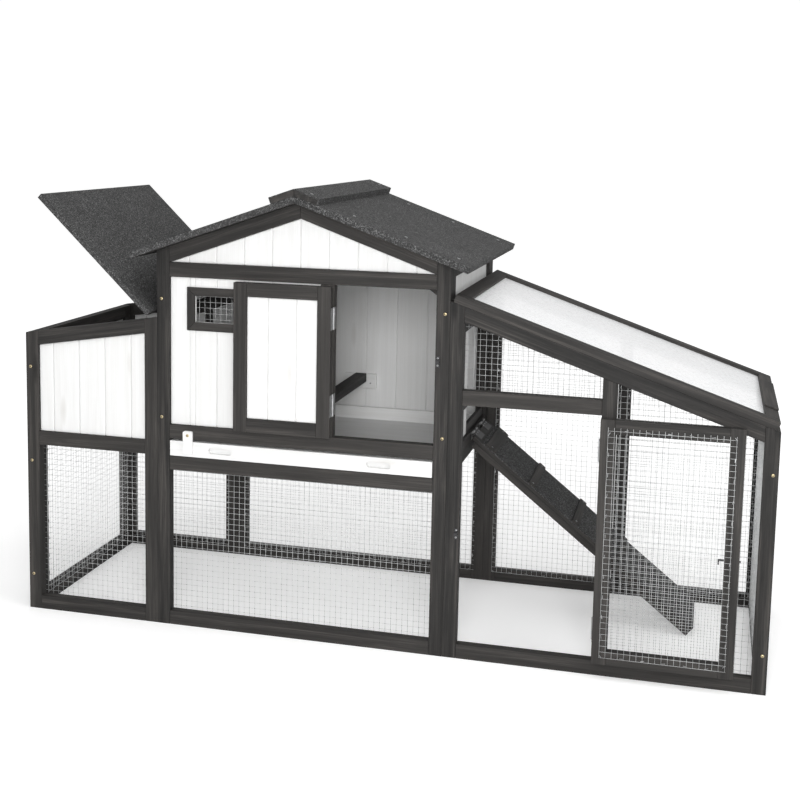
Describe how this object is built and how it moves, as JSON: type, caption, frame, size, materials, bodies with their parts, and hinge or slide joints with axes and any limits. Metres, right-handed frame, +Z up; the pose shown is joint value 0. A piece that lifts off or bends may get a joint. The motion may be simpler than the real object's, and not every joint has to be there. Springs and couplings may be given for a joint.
{
  "type": "chicken coop",
  "caption": "Long timber chicken coop: nest box with a lifting lid, raised house with a door, tray and gable roof, and a mesh run with a ramp, door and clear sloping roof.",
  "frame": {"origin": "on the ground under the middle of the coop", "axes": "+X along the coop from the nest box to the run, -Y is the front with the doors, +Z up"},
  "size_m": [2.1, 0.764, 1.2656],
  "materials": {
    "dark_timber": "dark grey stained softwood",
    "white_planks": "white painted softwood",
    "roofing_felt": "mineral roofing felt",
    "welded_mesh": "galvanised wire",
    "zinc": "zinc plated",
    "black_metal": "black coated",
    "clear_plastic": "clear plastic sheet"
  },
  "bodies": {
    "coop": {"front_nest_frame": "dark_timber", "front_house_frame": "dark_timber", "front_run_frame": "dark_timber", "back_nest_frame": "dark_timber", "back_house_frame": "dark_timber", "back_run_frame": "dark_timber", "left_end_frame": "dark_timber", "nest_partition_frame": "dark_timber", "house_right_frame": "dark_timber", "right_end_frame": "dark_timber", "front_nest_planks": "white_planks", "front_house_planks": "white_planks", "back_nest_planks": "white_planks", "back_house_planks": "white_planks", "left_end_planks": "white_planks", "nest_partition_planks": "white_planks", "house_right_planks": "white_planks", "house_right_trim": "dark_timber", "nest_floor": "white_planks", "nest_divider": "white_planks", "window_frame": "dark_timber", "front_nest_mesh": "welded_mesh", "back_nest_mesh": "welded_mesh", "front_house_mesh": "welded_mesh", "back_house_mesh": "welded_mesh", "front_run_mesh": "welded_mesh", "back_run_mesh": "welded_mesh", "left_end_mesh": "welded_mesh", "right_end_mesh": "welded_mesh", "roof_boards": "dark_timber", "roof_felt": "roofing_felt", "run_roof_frame": "dark_timber", "run_roof_sheet": "clear_plastic", "perch": "dark_timber", "perch_cleats": "white_planks", "tray_runners": "dark_timber", "fixed_hinge_leaves": "zinc", "bolt_keepers": "black_metal", "frame_screws": "zinc", "roof_nails": "zinc"},
    "tray": {"tray_box": "white_planks", "tray_front": "white_planks"},
    "turn_button": {"turn_button": "white_planks"},
    "house_door": {"house_door_frame": "dark_timber", "house_door_planks": "white_planks", "house_door_hinges": "zinc", "house_bolt_plate": "black_metal"},
    "house_bolt": {"house_bolt": "black_metal"},
    "run_door": {"run_door_frame": "dark_timber", "run_door_mesh": "welded_mesh", "run_door_hinges": "zinc", "run_bolt_plate": "black_metal"},
    "run_bolt": {"run_bolt": "black_metal"},
    "nest_lid": {"lid_boards": "dark_timber", "lid_felt": "roofing_felt", "lid_hinges": "zinc"},
    "ramp": {"ramp_deck": "dark_timber", "ramp_felt": "roofing_felt", "ramp_cleats": "dark_timber", "ramp_hinges": "black_metal"}
  },
  "joints": [
    {"name": "nest_lid_hinge", "type": "hinge", "parent": "coop", "child": "nest_lid", "pos_m": [-0.6447, 0, 0.90916], "axis": [0, 1, 0], "range_deg": [-53, 20]},
    {"name": "house_door_hinge", "type": "hinge", "parent": "coop", "child": "house_door", "pos_m": [-0.1228, -0.3289, 0.8], "axis": [0, 0, 1], "range_deg": [0, 180]},
    {"name": "run_door_hinge", "type": "hinge", "parent": "coop", "child": "run_door", "pos_m": [0.6018, -0.3289, 0.37], "axis": [0, 0, 1], "range_deg": [-180, 0]},
    {"name": "house_bolt_slide", "type": "slide", "parent": "house_door", "child": "house_bolt", "axis": [-1, 0, 0], "range_m": [0, 0.015]},
    {"name": "run_bolt_slide", "type": "slide", "parent": "run_door", "child": "run_bolt", "axis": [1, 0, 0], "range_m": [0, 0.015]},
    {"name": "tray_slide", "type": "slide", "parent": "coop", "child": "tray", "axis": [0, -1, 0], "range_m": [0, 0.45]},
    {"name": "turn_button_pivot", "type": "hinge", "parent": "coop", "child": "turn_button", "pos_m": [-0.546, -0.3287, 0.561], "axis": [0, -1, 0], "range_deg": [0, 90]},
    {"name": "ramp_hinge", "type": "hinge", "parent": "coop", "child": "ramp", "pos_m": [0.2007, 0.126, 0.544], "axis": [0, -1, 0], "range_deg": [0, 24]}
  ]
}
